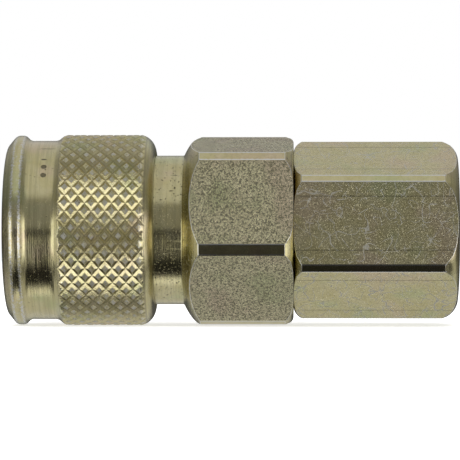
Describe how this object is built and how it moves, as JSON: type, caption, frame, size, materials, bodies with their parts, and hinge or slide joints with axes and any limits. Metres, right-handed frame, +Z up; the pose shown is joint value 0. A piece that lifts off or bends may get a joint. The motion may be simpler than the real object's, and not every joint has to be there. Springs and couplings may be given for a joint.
{
  "type": "quick disconnect coupler",
  "caption": "Socket half of a quick disconnect coupler: a knurled sleeve pulls back to free the ball lock, ahead of a hexagonal body and a hexagonal threaded port.",
  "frame": {"origin": "centre of the threaded port's end face", "axes": "+X along the coupler's axis, out of the threaded port; the plug's mouth is at -X; +Z up"},
  "size_m": [0.0542, 0.0232, 0.023],
  "materials": {
    "sleeve_plating": "yellow zinc plating with fine turning lines, worn pale on the rim and knurl",
    "body_plating": "yellow zinc plating over turned and milled steel",
    "adapter_plating": "yellow zinc plating over a scratched drawn hexagon",
    "ball_steel": "polished ball steel",
    "spring_steel": "drawn spring wire",
    "stop_ring_steel": "dark oiled spring steel",
    "valve_steel": "turned steel",
    "seal_rubber": "black nitrile rubber",
    "backup_plastic": "off-white plastic"
  },
  "bodies": {
    "coupler_body": {"socket_body": "body_plating", "port_adapter": "adapter_plating", "sleeve_stop_ring": "stop_ring_steel", "plug_seal": "seal_rubber", "backup_ring": "backup_plastic", "valve_guide": "valve_steel", "valve_spring": "spring_steel", "body_seal": "seal_rubber"},
    "spring_end": {"sleeve_spring": "spring_steel"},
    "sleeve": {"release_sleeve": "sleeve_plating"},
    "valve": {"valve_poppet": "valve_steel", "valve_seal": "seal_rubber"},
    "ball_1": {"locking_ball_1": "ball_steel"},
    "ball_2": {"locking_ball_2": "ball_steel"},
    "ball_3": {"locking_ball_3": "ball_steel"},
    "ball_4": {"locking_ball_4": "ball_steel"},
    "ball_5": {"locking_ball_5": "ball_steel"},
    "ball_6": {"locking_ball_6": "ball_steel"},
    "ball_7": {"locking_ball_7": "ball_steel"},
    "ball_8": {"locking_ball_8": "ball_steel"}
  },
  "joints": [
    {"name": "sleeve_spin", "type": "hinge", "parent": "coupler_body", "child": "spring_end", "pos_m": [-0.0387, 0, 0], "axis": [1, 0, 0], "continuous": true},
    {"name": "sleeve_slide", "type": "slide", "parent": "spring_end", "child": "sleeve", "axis": [1, 0, 0], "range_m": [0, 0.0034], "stiffness_N_per_m": 3000, "springref_m": -0.004, "deforming": ["sleeve_spring"]},
    {"name": "valve_slide", "type": "slide", "parent": "coupler_body", "child": "valve", "axis": [1, 0, 0], "range_m": [0, 0.0035], "stiffness_N_per_m": 1500, "springref_m": -0.004, "deforming": ["valve_spring"]},
    {"name": "ball_1_rise", "type": "slide", "parent": "coupler_body", "child": "ball_1", "axis": [0, 1, 0], "range_m": [0, 0.00093]},
    {"name": "ball_2_rise", "type": "slide", "parent": "coupler_body", "child": "ball_2", "axis": [0, 0.7071, 0.7071], "range_m": [0, 0.00093]},
    {"name": "ball_3_rise", "type": "slide", "parent": "coupler_body", "child": "ball_3", "axis": [0, 0, 1], "range_m": [0, 0.00093]},
    {"name": "ball_4_rise", "type": "slide", "parent": "coupler_body", "child": "ball_4", "axis": [0, -0.7071, 0.7071], "range_m": [0, 0.00093]},
    {"name": "ball_5_rise", "type": "slide", "parent": "coupler_body", "child": "ball_5", "axis": [0, -1, 0], "range_m": [0, 0.00093]},
    {"name": "ball_6_rise", "type": "slide", "parent": "coupler_body", "child": "ball_6", "axis": [0, -0.7071, -0.7071], "range_m": [0, 0.00093]},
    {"name": "ball_7_rise", "type": "slide", "parent": "coupler_body", "child": "ball_7", "axis": [0, 0, -1], "range_m": [0, 0.00093]},
    {"name": "ball_8_rise", "type": "slide", "parent": "coupler_body", "child": "ball_8", "axis": [0, 0.7071, -0.7071], "range_m": [0, 0.00093]}
  ],
  "couplings": [
    {"joint": "ball_1_rise", "follows": "sleeve_slide", "ratio": 0.2714},
    {"joint": "ball_2_rise", "follows": "sleeve_slide", "ratio": 0.2714},
    {"joint": "ball_3_rise", "follows": "sleeve_slide", "ratio": 0.2714},
    {"joint": "ball_4_rise", "follows": "sleeve_slide", "ratio": 0.2714},
    {"joint": "ball_5_rise", "follows": "sleeve_slide", "ratio": 0.2714},
    {"joint": "ball_6_rise", "follows": "sleeve_slide", "ratio": 0.2714},
    {"joint": "ball_7_rise", "follows": "sleeve_slide", "ratio": 0.2714},
    {"joint": "ball_8_rise", "follows": "sleeve_slide", "ratio": 0.2714}
  ]
}
